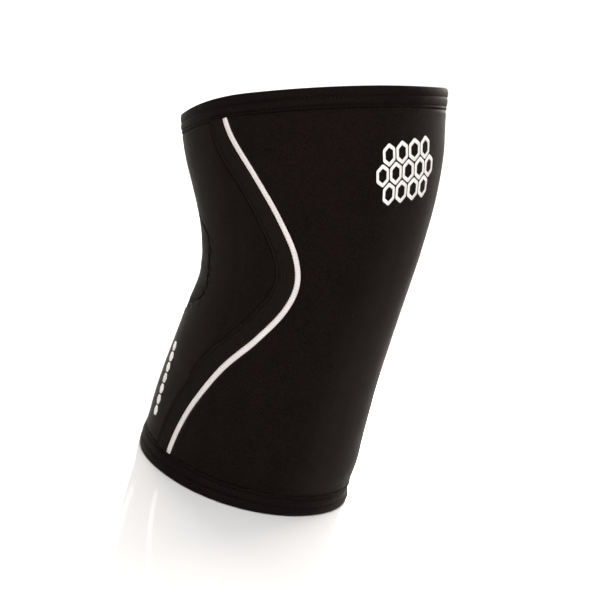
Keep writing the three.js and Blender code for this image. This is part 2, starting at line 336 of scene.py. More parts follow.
def bendCloth(bm, proud, spot):
    # proud(angle, height, across, inside) lifts a point off the skin, spot gives its place on the cloth
    angleOf, heightOf, acrossOf = clothLayers(bm)
    cloth = bm.loops.layers.uv.new("Cloth")
    outer = set(bm.verts)
    bmesh.ops.extrude_face_region(bm, geom=bm.faces[:], use_keep_orig=True)
    for vert in bm.verts:
        lift = proud(vert[angleOf], vert[heightOf], vert[acrossOf], vert not in outer)
        vert.co = skin(vert[heightOf], vert[angleOf], lift)
    for face in bm.faces:
        for loop in face.loops:
            loop[cloth].uv = spot(loop.vert[angleOf], loop.vert[heightOf], loop.vert[acrossOf])
    faceOutwards(bm)


def faceOutwards(bm):
    bmesh.ops.recalc_face_normals(bm, faces=bm.faces)
    if bm.calc_volume(signed=True) < 0:
        bmesh.ops.reverse_faces(bm, faces=bm.faces)


def clothPlace(angle, height):
    return Vector((math.radians(angle) * leg["clothRadius"], height, 0))


def clothSpot(angle, height, across):
    return clothPlace(angle, height)[:2]


def ribbonSpot(angle, height, across):
    return (across, height)


def unevenness(place, layers):
    return sum(depth * noise.noise(place / size) for depth, size in layers)


def edgeWave(angle, height):  # the opening's edge runs a little unevenly
    return unevenness(clothPlace(angle, height), opening["waves"])


def slideTo(height, angle, wanted):  # moves a point until it lies that far outside the opening's edge
    small = 0.2 * mm
    degree = small / opening["perDegree"]
    for turn in range(7):
        miss = openingDistance(height, angle) - edgeWave(angle, height) - wanted
        across = openingDistance(height, angle + degree) - openingDistance(height, angle - degree)
        upward = openingDistance(height + small, angle) - openingDistance(height - small, angle)
        across, upward = across / (2 * small), upward / (2 * small)
        steep = across * across + upward * upward
        angle -= miss * across / steep / opening["perDegree"]
        height -= miss * upward / steep
    return height, angle


def trimToOpening(bm, outside, start, lips):
    # cuts the cloth along the opening and adds a few narrow rows that end at its edge
    angleOf, heightOf, acrossOf = clothLayers(bm)

    def distance(corners):
        height = sum(vert[heightOf] for vert in corners) / len(corners)
        return openingDistance(height, sum(vert[angleOf] for vert in corners) / len(corners))

    side = 1 if outside else -1
    gone = [face for face in bm.faces if (distance(face.verts) - start) * side < 0.1 * mm]
    bmesh.ops.delete(bm, geom=gone, context="FACES")
    rim = [edge for edge in bm.edges if edge.is_boundary and abs(distance(edge.verts) - start) < 6 * mm]
    for wanted in [start, *lips]:
        if wanted != start:
            grown = bmesh.ops.extrude_edge_only(bm, edges=rim)["geom"]
            rim = [part for part in grown if isinstance(part, bmesh.types.BMEdge) and part.is_boundary]
        for vert in {vert for edge in rim for vert in edge.verts}:
            vert[heightOf], vert[angleOf] = slideTo(vert[heightOf], vert[angleOf], wanted)


def seamColumns(height, asides, count, column, middle):
    # the angle of a column between the two seams: a few set by their distance, the rest evenly spread
    mirrored = column > count / 2
    place = count - column if mirrored else column
    edge = len(asides) - 1
    if place <= edge:
        angle, gap = asideAngle(height, asides[place]), abs(asides[place])
    else:
        start = asideAngle(height, asides[edge])
        share = (place - edge) / (count / 2 - edge)
        angle = start + (middle - start) * share
        gap = abs(asides[edge]) + abs(angle - start) * opening["perDegree"]
    if mirrored:
        angle = 2 * middle - angle
    return angle, gap


def endRows(ends, count, row):  # heights: the given ones at both ends, evenly spread between
    mirrored = row > count / 2
    place = count - row if mirrored else row
    edge = len(ends) - 1
    if place <= edge:
        height = ends[place]
    else:
        height = ends[edge] + (leg["length"] / 2 - ends[edge]) * (place - edge) / (count / 2 - edge)
    return leg["length"] - height if mirrored else height


panelShape = {
    "rows": 172,
    "columns": 156,
    "shoulder": 1.5 * mm,  # how soon the face rounds down beside a ribbon or hem
    "swell": 0.16 * mm,  # the foam stands up a little beside the stitching
    "swellAt": (2.4 * mm, 1.6 * mm),
    "pressed": 3.9 * mm,  # wall left under the hems
    # drawn in just above the lower hem, fuller above that: depth, height, half width
    "neck": (-0.7 * mm, 14 * mm, 6 * mm),
    "above": (0.65 * mm, 30 * mm, 9 * mm),
    "neckReach": 12 * mm,
}
closeSteps = [step * mm for step in (0, 0.12, 0.35, 0.7, 1.2, 1.9)]  # where the face rounds down
hemRows = [panelEnd, 6 * mm, 11.4 * mm] + [bedEnd + step for step in closeSteps]
frontAsides = [joint + ribbons["jointGap"], -3 * mm] + [bedFront + step for step in closeSteps]
backAsides = [joint - ribbons["jointGap"], -11 * mm] + [bedRear - step for step in closeSteps]
# shallow creases, which rise by their slant along their length
creases = tableOf(
    "angle height length width depth slant",
    (-26, 19 * mm, 15 * mm, 1.5 * mm, 0.22 * mm, 0.1),
    (-30, 24 * mm, 13 * mm, 1.8 * mm, 0.2 * mm, -0.08),
    (-14, 17 * mm, 12 * mm, 1.5 * mm, 0.16 * mm, 0.15),
    (118, 62 * mm, 30 * mm, 4 * mm, 0.35 * mm, 0.35),
    (-122, 58 * mm, 28 * mm, 4 * mm, 0.35 * mm, 0.3),
    (172, 205 * mm, 34 * mm, 4 * mm, 0.3 * mm, -0.15),
)


def creased(angle, height):
    total = 0
    for crease in creases:
        across = turnFrom(angle, crease["angle"]) * opening["perDegree"]
        rise = height - crease["height"] - across * crease["slant"]
        if abs(across) < crease["length"] and abs(rise) < 4 * crease["width"]:
            fade = (1 - (across / crease["length"]) ** 2) ** 2
            total -= crease["depth"] * fade * bell(rise, 0, crease["width"])
    return total


def shoulder(gap):  # from the bed up to the face
    swell = panelShape["swell"] * bell(gap, *panelShape["swellAt"])
    return bed * edgeRound(gap, panelShape["shoulder"]) + swell


def endGap(height):
    return min(height, leg["length"] - height) - bedEnd


def neck(height, angle, across):
    depth, middle, width = panelShape["neck"]
    total = depth * bell(height, middle, width) * smoothStep(endGap(height), -1 * mm, 1.5 * mm)
    depth, middle, width = panelShape["above"]
    total += depth * bell(height, middle, width)
    front = 0.55 + 0.45 * math.cos(math.radians(angle))
    return total * front * smoothStep(across, 0, panelShape["neckReach"])


def innerFace(height):
    full = smoothStep(endGap(height), 0, 1.6 * mm)
    return -panelShape["pressed"] - (leg["wall"] - panelShape["pressed"]) * full


def faceProud(angle, height, across):
    return shoulder(min(across, endGap(height))) + creased(angle, height) + neck(height, angle, across)


def frontProud(angle, height, across, inside):
    return innerFace(height) if inside else faceProud(angle, height, across)


def puckered(angle, height, distance):  # crumpled by the thread along the opening's edge
    crumple = unevenness(clothPlace(angle, height), opening["puckers"])
    return crumple * bell(distance, 0, opening["puckerReach"])


def backProud(angle, height, across, inside):
    near = max(openingDistance(height, angle) - edgeWave(angle, height), 0)
    if inside:
        return innerFace(height) + opening["innerLip"] * bell(near, 0, opening["innerLipReach"])
    roll = opening["roll"] * edgeRound(near, opening["rollReach"])
    return faceProud(angle, height, across) - roll + puckered(angle, height, near)


def panelCloth(asides, bedEdge, middle):
    columns, rows = panelShape["columns"], panelShape["rows"]
    outwards = math.copysign(1, bedEdge)

    def spread(column, row):
        height = endRows(hemRows, rows, row)
        angle, gap = seamColumns(height, asides, columns, column, middle)
        place = min(column, columns - column)
        beside = outwards * (asides[place] - bedEdge) if place < len(asides) else gap - abs(bedEdge)
        return angle, height, beside

    return flatCloth(columns, rows, spread)


def buildFrontPanel():
    bm = panelCloth(frontAsides, bedFront, 0)
    bendCloth(bm, frontProud, clothSpot)
    return bm


def buildBackPanel():
    bm = panelCloth(backAsides, bedRear, 180)
    trimToOpening(bm, True, opening["trimmedAt"], opening["lips"])
    bendCloth(bm, backProud, clothSpot)
    return bm


hollowShape = {
    "columns": 112,
    "rows": 80,
    "beyond": 2,  # degrees of spare cloth at either side, trimmed off again
    "trimmedAt": -2.2 * mm,
    "lips": [-1.85 * mm, -1.5 * mm, -1.25 * mm, -1.03 * mm, -0.85 * mm, -0.75 * mm, 0.02 * mm],
    "sunk": 1.2 * mm,
    "thickness": 2 * mm,
    "innerLip": 1 * mm,
    "innerLipReach": 2 * mm,
    "foldDepth": 0.35 * mm,
    "foldSize": 9 * mm,
    "foldRadius": 20 * mm,
    "foldFree": 8 * mm,
    "gap": 0.75 * mm,  # the groove between its edge and the opening's, whose floor reaches the panel
    "roll": 1.9 * mm,
    "rollReach": 0.8 * mm,
    "swell": 1.05 * mm,
    "swellFrom": (0.4 * mm, 2.2 * mm),
    "ripple": 0.42 * mm,  # small folds beside the lower corners
    "ripplePitch": 3 * mm,
    "rippleReach": 9 * mm,
    "cornerAngles": (34, 48),  # from the middle of the back
    "cornerHeights": (116 * mm, 126 * mm),
}


def hollowProud(angle, height, across, inside):
    look = hollowShape
    distance = max(edgeWave(angle, height) - openingDistance(height, angle), 0)
    if inside:
        return -look["sunk"] - look["thickness"] - look["innerLip"] * bell(distance, 0, look["innerLipReach"])
    where = Vector((math.radians(angle) * look["foldRadius"], height, 0)) / look["foldSize"]
    fold = look["foldDepth"] * noise.noise(where) * smoothStep(distance, 0, look["foldFree"])
    corner = smoothStep(abs(angle - 180), *look["cornerAngles"])
    corner *= 1 - smoothStep(height, *look["cornerHeights"])
    ripple = math.sin(2 * math.pi * distance / look["ripplePitch"]) * bell(distance, 0, look["rippleReach"])
    fold += look["ripple"] * ripple * corner
    roll = look["roll"] * edgeRound(distance - look["gap"], look["rollReach"])
    swell = look["swell"] * smoothStep(distance, *look["swellFrom"])
    return -look["sunk"] + fold - roll + swell + puckered(angle, height, distance)


def buildKneeHollow():
    columns, rows = hollowShape["columns"], hollowShape["rows"]
    reach = opening["reach"] + hollowShape["beyond"]
    low, high = opening["low"] - opening["fall"], opening["high"] + opening["rise"]

    def spread(column, row):
        return 180 + reach * (2 * column / columns - 1), low + (high - low) * row / rows, 0

    bm = flatCloth(columns, rows, spread)
    trimToOpening(bm, False, hollowShape["trimmedAt"], hollowShape["lips"])
    bendCloth(bm, hollowProud, clothSpot)
    return bm


bandLines = (0.22, 0.42, 0.62, 0.8)  # its lengthwise stitching, shares of the width from the front
bandShape = {
    "columns": 48,
    "rows": 210,
    "proud": 0.4 * mm,
    "roll": 0.55 * mm,
    "rollReach": 0.7 * mm,
    "lump": 0.06 * mm,
    "lumpSize": 3 * mm,
    # the folded edge at the rear, the groove before it and those of the stitching: depth, share, half width
    "relief": [
        (0.5 * mm, 0.955, 0.03),
        (-0.4 * mm, 0.89, 0.026),
        *[(-0.16 * mm, line, 0.028) for line in bandLines],
    ],
}


def bandProud(angle, height, across, inside):
    if inside:
        return -ribbons["sink"]
    share = (bandFront - across) / ribbons["bandWidth"]
    roll = bandShape["roll"] * edgeRound(min(share, 1 - share) * ribbons["bandWidth"], bandShape["rollReach"])
    relief = sum(depth * bell(share, line, width) for depth, line, width in bandShape["relief"])
    lump = bandShape["lump"] * noise.noise(Vector((across, height, 0)) / bandShape["lumpSize"])
    return bandShape["proud"] - roll + relief + lump


def buildSideBand(mirrored):
    def spread(column, row):
        height = endRows([hemShape["height"] + 0.1 * mm, bedEnd + 0.8 * mm], bandShape["rows"], row)
        share = 0.5 - 0.5 * math.cos(math.pi * column / bandShape["columns"])
        share = 0.5 * share + 0.5 * column / bandShape["columns"]
        across = bandFront - share * ribbons["bandWidth"]
        angle = asideAngle(height, across)
        return 360 - angle if mirrored else angle, height, across

    bm = flatCloth(bandShape["columns"], bandShape["rows"], spread)
    bendCloth(bm, bandProud, ribbonSpot)
    return bm


pipingShape = {
    "columns": 14,
    "rows": 840,
    "width": 3.3 * mm,
    "wider": (0.5 * mm, 85 * mm, 38 * mm),  # how much, and at what height: below the knee it lies flatter
    "proud": 0.7 * mm,
    "edge": -0.35 * mm,
    "crown": 0.05 * mm,
    "pressed": 0.45,  # share of its height that is left under the hems
    "threadPitch": 1.5 * mm,
    "sawTooth": 0.34 * mm,  # how far the thread ends stand out at the rear
}


def pipingWidthAt(height):
    extra, middle, spread = pipingShape["wider"]
    return pipingShape["width"] + extra * bell(height, middle, spread)


def pipingProud(angle, height, across, inside):
    if inside:
        return -ribbons["sink"]
    share = abs(across) / (pipingWidthAt(height) / 2)
    tall = (pipingShape["proud"] + 0.3 * mm) * math.sqrt(max(1 - min(share, 1) ** 6, 0))
    free = smoothStep(endGap(height), -0.2 * mm, 2.5 * mm)
    pressed = pipingShape["pressed"] + (1 - pipingShape["pressed"]) * free
    return pipingShape["edge"] + (tall + pipingShape["crown"] * (1 - share * share)) * pressed


def buildSidePiping(mirrored):
    rows, columns = pipingShape["rows"], pipingShape["columns"]
    start = hemShape["height"] + 0.1 * mm

    def spread(column, row):
        foot = start + (leg["length"] - 2 * start) * row / rows
        rib = math.sin(2 * math.pi * foot / pipingShape["threadPitch"])
        width = pipingWidthAt(foot)
        across = width / 2 * math.cos(math.pi * column / columns)
        if across < 0:
            across -= pipingShape["sawTooth"] * rib * (across / width * 2) ** 2
        rise, turn = stepAside(foot)
        angle = seamAngle(foot) + across * turn
        return 360 - angle if mirrored else angle, foot + across * rise, across

    bm = flatCloth(columns, rows, spread)
    bendCloth(bm, pipingProud, ribbonSpot)
    return bm


# the hem's face from its free edge to the rim: shares of its height and of how far it stands out
hemRidges = [
    *[(1, -0.3), (0.975, 0.15), (0.935, 0.5), (0.895, 0.25), (0.865, -0.25), (0.835, 0.1), (0.78, 0.6)],
    *[(0.64, 0.9), (0.5, 0.8), (0.445, 0.42), (0.39, 0.8), (0.2, 1), (0.05, 0.6)],
]


def hemProfile():
    h, proud, thick = hemShape["height"], hemShape["proud"], hemShape["thickness"]
    face = [{"at": 1 - share, "proud": out * proud} for share, out in hemRidges]
    outline = [(h, -ribbons["sink"])]
    for step in range(52):
        at = step / 52 * 0.95
        outline.append((h * (1 - at), readTable(face, at, "proud")))
    back = -leg["wall"] + proud + 0.3 * thick
    rimMiddle, rimHalf = (face[-1]["proud"] + back) / 2, (face[-1]["proud"] - back) / 2
    for step in range(11):  # round over the rim
        turn = math.pi * step / 10
        outline.append((0.05 * h * (1 - math.sin(turn) ** 0.8), rimMiddle + rimHalf * math.cos(turn)))
    inner, floor = slotFace - thick, thick + ribbons["clearance"]
    outline += [(0.08 * h, inner), (0.3 * h, inner), (0.6 * h, inner), (0.94 * h, inner)]
    outline += [(h, inner + 0.5 * mm), (h, slotFace), (floor, slotFace), (floor, -ribbons["sink"])]
    return outline


def buildHem(rim, inward):
    outline = hemProfile()
    columns, rows = hemShape["columns"], len(outline)
    bm = bmesh.new()
    bmesh.ops.create_grid(bm, x_segments=columns, y_segments=rows, size=0.5)
    cloth = bm.loops.layers.uv.new("Cloth")
    pinches = [(at * hemShape["height"], width, depth) for at, width, depth in hemShape["pinches"]]
    run = [0]
    for (height, proud), (nextHeight, nextProud) in zip(outline, outline[1:] + outline[:1]):
        run.append(run[-1] + math.hypot(nextHeight - height, nextProud - proud))
    for face in bm.faces:
        for loop in face.loops:
            row = round((loop.vert.co.y + 0.5) * rows)
            loop[cloth].uv = ((loop.vert.co.x + 0.5) * hemShape["round"], run[row])
    for vert in bm.verts:
        height, proud = outline[round((vert.co.y + 0.5) * rows) % rows]
        angle = 360 * (vert.co.x + 0.5)
        if proud > 0:
            turn = math.radians(angle)
            puff = noise.noise(Vector((math.cos(turn) * 24, math.sin(turn) * 24, height * 300)))
            pinch = 0.5 + 0.5 * math.cos(2 * math.pi * round(angle / 360 * columns) / 4)
            deep = sum(depth * bell(height, middle, width) for middle, width, depth in pinches)
            proud += hemShape["puff"] * puff - pinch * deep
        vert.co = skin(rim + inward * height, angle, proud)
    bmesh.ops.remove_doubles(bm, verts=bm.verts, dist=0.01 * mm)
    faceOutwards(bm)
    return bm


def makeStitch():
    bm = bmesh.new()
    bmesh.ops.create_uvsphere(bm, u_segments=6, v_segments=4, radius=0.5)
    bm.transform(Matrix.Rotation(math.pi / 2, 4, "Y"))
    return meshFrom(bm, "stitch")


oneStitch, placedStitch = makeStitch(), bpy.data.meshes.new("placedStitch")


def addThread(bm, start, end, outward, look):  # one stitch, pressed into the cloth at its ends
    along = end - start
    length = along.length
    along.normalize()
    outward = (outward - along * outward.dot(along)).normalized()
    turn = Matrix((along, outward.cross(along), outward)).transposed().to_4x4()
    size = Matrix.Diagonal((length, look["width"], look["thick"], 1))
    stitch = bmesh.new()
    stitch.from_mesh(oneStitch)
    stitch.transform(Matrix.Translation((start + end) / 2) @ turn @ size)
    stitch.to_mesh(placedStitch)
    stitch.free()
    bm.from_mesh(placedStitch)


def outwardAt(height, angle):
    return (bareSkin(height, angle, 1 * mm) - bareSkin(height, angle)).normalized()


hemStitches = {
    "runs": [  # share of the hem's height, stitches round, share of the pitch that shows, proud of the skin
        {"at": 0.445, "count": 165, "shown": 0.66, "proud": 0.2 * mm},
        {"at": 0.866, "count": hemShape["stitches"], "shown": 0.72, "proud": -0.2 * mm},
        {"at": 0.992, "count": hemShape["stitches"], "shown": 0.72, "proud": -0.1 * mm},
    ],
    "tacks": {"count": 6, "reach": (0.78, 1.0), "proud": 0.4 * mm},
    "width": 0.4 * mm,
    "thick": 0.3 * mm,
}


def buildHemStitches(rim, inward):
    bm = bmesh.new()
    for run in hemStitches["runs"]:
        step = 360 / run["count"]
        height = rim + inward * run["at"] * hemShape["height"]
        for stitch in range(run["count"]):
            angle = stitch * step
            start = skin(height, angle, run["proud"])
            end = skin(height, angle + step * run["shown"], run["proud"])
            addThread(bm, start, end, outwardAt(height, angle), hemStitches)
    tacks = hemStitches["tacks"]
    for stitch in range(tacks["count"]):  # where the side bands end under the hem
        across = bandFront - (stitch + 0.5) / tacks["count"] * ribbons["bandWidth"]
        low, high = [rim + inward * share * hemShape["height"] for share in tacks["reach"]]
        for angle in (asideAngle(high, across), 360 - asideAngle(high, across)):
            start, end = skin(low, angle, tacks["proud"]), skin(high, angle, tacks["proud"])
            addThread(bm, start, end, outwardAt(high, angle), hemStitches)
    return bm


bandStitches = {"pitch": 2.1 * mm, "shown": 0.66, "width": 0.36 * mm, "thick": 0.24 * mm, "proud": 0.22 * mm}


def buildBandStitches(mirrored):
    bm = bmesh.new()
    first, last = bedEnd + 1 * mm, leg["length"] - bedEnd - 1 * mm
    count = round((last - first) / bandStitches["pitch"])
    for share in bandLines:
        across = bandFront - share * ribbons["bandWidth"]
        for stitch in range(count):
            low = first + stitch * bandStitches["pitch"]
            ends = []
            for height in (low, low + bandStitches["shown"] * bandStitches["pitch"]):
                angle = asideAngle(round(height, 6), across)
                angle = 360 - angle if mirrored else angle
                ends.append(skin(height, angle, bandStitches["proud"]))
            addThread(bm, *ends, outwardAt(low, angle), bandStitches)
    return bm


hollowStitches = {
    "count": 230,
    "inside": 0.7 * mm,
    "outside": 0.6 * mm,
    "slant": 0.7 * mm,
    "sunk": 1.1 * mm,
    "width": 0.8 * mm,
    "thick": 0.4 * mm,
}


def openingPoint(share):  # a point on the opening's edge, and the way out of it, for a share of the way round
    reach, rise = opening["reach"], opening["rise"]
    straight = opening["high"] - opening["low"]
    arc = math.pi * math.sqrt((rise**2 + (reach * opening["perDegree"]) ** 2) / 2)
    run = share * (2 * arc + 2 * straight)
    if run < arc:
        turn = math.pi * run / arc
        return opening["high"] + rise * math.sin(turn), 180 + reach * math.cos(turn)
    run -= arc
    if run < straight:
        return opening["high"] - run, 180 - reach
    run -= straight
    if run < arc:
        turn = math.pi * run / arc
        return opening["low"] - rise * math.sin(turn), 180 - reach * math.cos(turn)
    return opening["low"] + run - arc, 180 + reach


def buildHollowStitches():  # the thread over the opening's edge, one slanted stitch after another
    bm = bmesh.new()
    look = hollowStitches
    for stitch in range(look["count"]):
        height, angle = openingPoint(stitch / look["count"])
        low = slideTo(height, angle, -look["inside"])
        high = slideTo(height + look["slant"], angle, look["outside"])
        addThread(bm, skin(*low, -look["sunk"]), skin(*high, -look["sunk"]), outwardAt(height, angle), look)
    return bm


# two printed honeycombs: a roundel on the thigh and a short strip beside the calf's seam
roundel = {
    "angle": 2.5,
    "height": 200 * mm,
    "turn": math.radians(-7),
    "cell": 10.4 * mm,
    "gap": 0.9 * mm,
    "insets": (0.875 * mm, 0.875 * mm),  # rows of faces inside a cell's outline
    "filled": False,
    "rows": (4, 5, 4),
}
strip = {
    "angle": 123.5,
    "height": 49 * mm,
    "turn": math.radians(80),
    "cell": 7 * mm,
    "gap": 1 * mm,
    "insets": (0.56 * mm, 0.98 * mm, 0.98 * mm),
    "filled": True,
    "cells": 7,
}
printRounding = 0.14  # of the cells' corners, a share of the cell's size
printThick = 0.26 * mm


def printedCells(look, centres):
    bm = bmesh.new()
    perDegree = (skin(look["height"], look["angle"] + 1) - skin(look["height"], look["angle"])).length
    size = (look["cell"] - look["gap"]) / 2 / math.cos(math.pi / 6)
    for x, y in centres:
        place = Matrix.Translation((x, y, 0))
        corners = bmesh.ops.create_circle(bm, cap_ends=True, segments=6, radius=size, matrix=place)["verts"]
        rounding = {"offset": printRounding * size, "segments": 3, "profile": 0.5, "material": -1}
        bmesh.ops.bevel(bm, geom=corners, affect="VERTICES", **rounding)
    faces = bm.faces[:]
    for inset in look["insets"]:
        bmesh.ops.inset_individual(bm, faces=faces, thickness=inset, depth=0)
    if not look["filled"]:
        bmesh.ops.delete(bm, geom=faces, context="FACES")
    grown = bmesh.ops.extrude_face_region(bm, geom=bm.faces[:], use_keep_orig=True)["geom"]
    for vert in [part for part in grown if isinstance(part, bmesh.types.BMVert)]:
        vert.co.z = printThick
    cosTurn, sinTurn = math.cos(look["turn"]), math.sin(look["turn"])
    for vert in bm.verts:
        across = vert.co.x * cosTurn - vert.co.y * sinTurn
        height = look["height"] + vert.co.x * sinTurn + vert.co.y * cosTurn
        proud = vert.co.z if vert.co.z > 0 else -0.3 * mm
        vert.co = skin(height, look["angle"] + across / perDegree, proud)
    faceOutwards(bm)
    return bm


def buildRoundel():
    centres = []
    cell = roundel["cell"]
    for row, count in enumerate(roundel["rows"]):
        rise = (row - (len(roundel["rows"]) - 1) / 2) * cell * math.cos(math.pi / 6)
        centres += [((column - (count - 1) / 2) * cell, rise) for column in range(count)]
    return printedCells(roundel, centres)


def buildStrip():
    middle = (strip["cells"] - 1) / 2
    return printedCells(strip, [((place - middle) * strip["cell"], 0) for place in range(strip["cells"])])


# looks: colours are linear, sizes in metres
cloths = {
    "neopreneFace": {
        "colour": (0.0088, 0.0052, 0.0044),
        "deep": (0.0018, 0.0011, 0.001),
        "wale": 0.62 * mm,
        "course": 0.5 * mm,
        "relief": 0.16 * mm,
        "mottle": 1.1,
        "roughness": 0.86,
        "fuzz": 0.24,
        "sheen": 0.05,
        "sheenTint": (1, 0.86, 0.76),
    },
    "hollowFabric": {
        "colour": (0.0096, 0.0062, 0.0054),
        "deep": (0.0024, 0.0016, 0.0014),
        "wale": 0.7 * mm,
        "course": 0.45 * mm,
        "relief": 0.14 * mm,
        "mottle": 0.8,
        "roughness": 0.84,
        "fuzz": 0.12,
        "sheen": 0.08,
        "sheenTint": (1, 0.86, 0.76),
    },
    "bandFabric": {
        "colour": (0.0104, 0.007, 0.0057),
        "deep": (0.003, 0.0023, 0.0018),
        "wale": 1.1 * mm,
        "course": 0.45 * mm,
        "relief": 0.12 * mm,
        "mottle": 0.8,
        "roughness": 0.72,
        "fuzz": 0.2,
        "sheen": 0.05,
        "sheenTint": (1, 0.88, 0.76),
        "paintedGrooves": {
            "alongY": True,
            "pitch": 2.1 * mm,
            "broken": 0.3,
            # painted shade lines in the grooves: millimetres aside from the seam, half width, strength: a
            # negative one is a lighter painted highlight on a ridge
            "lines": (
                (-4.72, 0.33, 0.25),
                (-6.92, 0.33, 0.35),
                (-9.12, 0.33, 0.35),
                (-11.1, 0.33, 0.25),
                (-12.03, 0.31, 0.9),
                (-12.75, 0.29, -1.1),
                (-13.3, 0.22, 1.0),
            ),
        },
    },
    "hemBinding": {
        "colour": (0.0074, 0.0042, 0.0038),
        "deep": (0.0018, 0.001, 0.0009),
        "wale": 0.7 * mm,
        "course": 0.5 * mm,
        "relief": 0.12 * mm,
        "mottle": 0.9,
        "roughness": 0.76,
        "fuzz": 0.12,
        "sheen": 0.05,
        "sheenTint": (1, 0.86, 0.77),
        "paintedGrooves": {
            "alongY": False,
            "pitch": hemShape["round"] / hemShape["stitches"],
            "broken": 0.7,
            # painted shade lines in the stitching's grooves: millimetres from the free edge over the face,
            # half width, strength: a negative one is a lighter painted highlight on the ridge between
            "lines": ((0.7, 0.3, 1.4), (1.15, 0.3, -1.2), (2.2, 0.45, 2.4), (7.6, 0.5, 2.4)),
        },
    },
}

# what they share: fuzz is the fine fibre that catches the light where the cloth turns away
clothLook = {
    "specular": 0.055,
    "sheenRoughness": 0.13,
    "patch": 16 * mm,
    "fleck": 0.95 * mm,
    "patchShare": 0.16,  # the flecks have the rest
    "flecksRoughen": 0.16,
    "fuzzNarrow": 3.6,
    "fuzzRoughness": 0.45,
    "fuzzTint": (1, 0.88, 0.79, 1),
}


def addNode(tree, kind, inputs=None, **settings):
    node = tree.nodes.new(kind)
    for name, value in settings.items():
        setattr(node, name, value)
    for name, value in (inputs or {}).items():
        if isinstance(value, bpy.types.NodeSocket):
            tree.links.new(value, node.inputs[name])
        else:
            node.inputs[name].default_value = value
    return node


def calculate(tree, operation, *values):
    inputs = dict(enumerate(values))
    return addNode(tree, "ShaderNodeMath", inputs, operation=operation).outputs[0]


def newGroup(name, inputs, outputs):
    group = bpy.data.node_groups.new(name, "ShaderNodeTree")
    for socket, (kind, value) in inputs.items():
        made = group.interface.new_socket(socket, in_out="INPUT", socket_type=kind)
        if value is not None:
            made.default_value = value
    for socket, kind in outputs.items():
        group.interface.new_socket(socket, in_out="OUTPUT", socket_type=kind)
    return group, addNode(group, "NodeGroupInput").outputs, addNode(group, "NodeGroupOutput")


def wave(tree, value, pitch=1):
    return calculate(tree, "SINE", calculate(tree, "MULTIPLY", value, 2 * math.pi / pitch))


def knitGroup():  # rows of small V stitches, by a place on the cloth in metres: their relief, and the gaps between them as a mask for painted shade
    group, given, result = newGroup(
        "knitStitches",
        {
            "Place": ("NodeSocketVector", None),
            "Wale": ("NodeSocketFloat", 0.001),
            "Course": ("NodeSocketFloat", 0.001),
        },
        {"Height": "NodeSocketFloat", "Gap Shade": "NodeSocketFloat"},
    )
    work = partial(calculate, group)
    place = addNode(group, "ShaderNodeSeparateXYZ", {0: given["Place"]}).outputs
    uneven = {"Vector": given["Place"], "Scale": 420.0, "Detail": 1.0}
    wobble = addNode(group, "ShaderNodeTexNoise", uneven).outputs[0]
    wobble = work("MULTIPLY", work("SUBTRACT", wobble, 0.5), 0.7)
    column = work("ADD", work("DIVIDE", place[0], given["Wale"]), wobble)
    row = work("ADD", work("DIVIDE", place[1], given["Course"]), wobble)
    legs = work("ABSOLUTE", wave(group, column))
    fold = work("ABSOLUTE", work("SUBTRACT", work("FRACT", column), 0.5))
    slanted = work("SUBTRACT", row, work("MULTIPLY", fold, 1.3))
    stitch = work("MULTIPLY_ADD", wave(group, slanted), 0.35, 0.65)
    height = work("MULTIPLY", work("POWER", legs, 0.6), stitch)
    group.links.new(height, result.inputs["Height"])
    # painted shade: the gaps between the stitches, darker in the cloth's colour
    group.links.new(work("SUBTRACT", 1.0, height), result.inputs["Gap Shade"])
    return group


def mottleGroup():  # patches a little lighter and darker, and fine flecks of fibre
    group, given, result = newGroup(
        "clothMottle",
        {
            "Place": ("NodeSocketVector", None),
            "Patch Size": ("NodeSocketFloat", 0.01),
            "Fleck Size": ("NodeSocketFloat", 0.001),
        },
        {"Patches": "NodeSocketFloat", "Flecks": "NodeSocketFloat"},
    )
    for socket, size, detail in (("Patches", "Patch Size", 3.0), ("Flecks", "Fleck Size", 2.0)):
        scale = calculate(group, "DIVIDE", 1.0, given[size])
        look = {"Vector": given["Place"], "Scale": scale, "Detail": detail}
        group.links.new(addNode(group, "ShaderNodeTexNoise", look).outputs[0], result.inputs[socket])
    return group


knitStitches, clothMottle = knitGroup(), mottleGroup()


def newMaterial(name, roughness, specular, sheen=0.0, sheenTint=(1, 1, 1)):
    material = bpy.data.materials.new(name)
    material.use_nodes = True
    tree = material.node_tree
    shader = tree.nodes["Principled BSDF"].inputs
    shader["Roughness"].default_value = roughness
    shader["Specular IOR Level"].default_value = specular
    shader["Sheen Weight"].default_value = sheen
    shader["Sheen Roughness"].default_value = clothLook["sheenRoughness"]
    shader["Sheen Tint"].default_value = (*sheenTint, 1)
    return material, tree, shader


def mottleOn(tree, patch, fleck):  # lies still on the object
    body = addNode(tree, "ShaderNodeTexCoord").outputs["Object"]
    sizes = {"Place": body, "Patch Size": patch, "Fleck Size": fleck}
    return addNode(tree, "ShaderNodeGroup", sizes, node_tree=clothMottle).outputs


def addRelief(tree, shader, height, depth):
    bump = addNode(tree, "ShaderNodeBump", {"Height": height, "Distance": depth, "Strength": 1.0})
    tree.links.new(bump.outputs[0], shader["Normal"])


def mixColours(tree, share, first, second):
    node = addNode(tree, "ShaderNodeMix", data_type="RGBA")
    for socket, value in zip((node.inputs[0], node.inputs[6], node.inputs[7]), (share, first, second)):
        if isinstance(value, bpy.types.NodeSocket):
            tree.links.new(value, socket)
        else:
            socket.default_value = (*value, 1) if isinstance(value, tuple) else value
    return node.outputs[2]


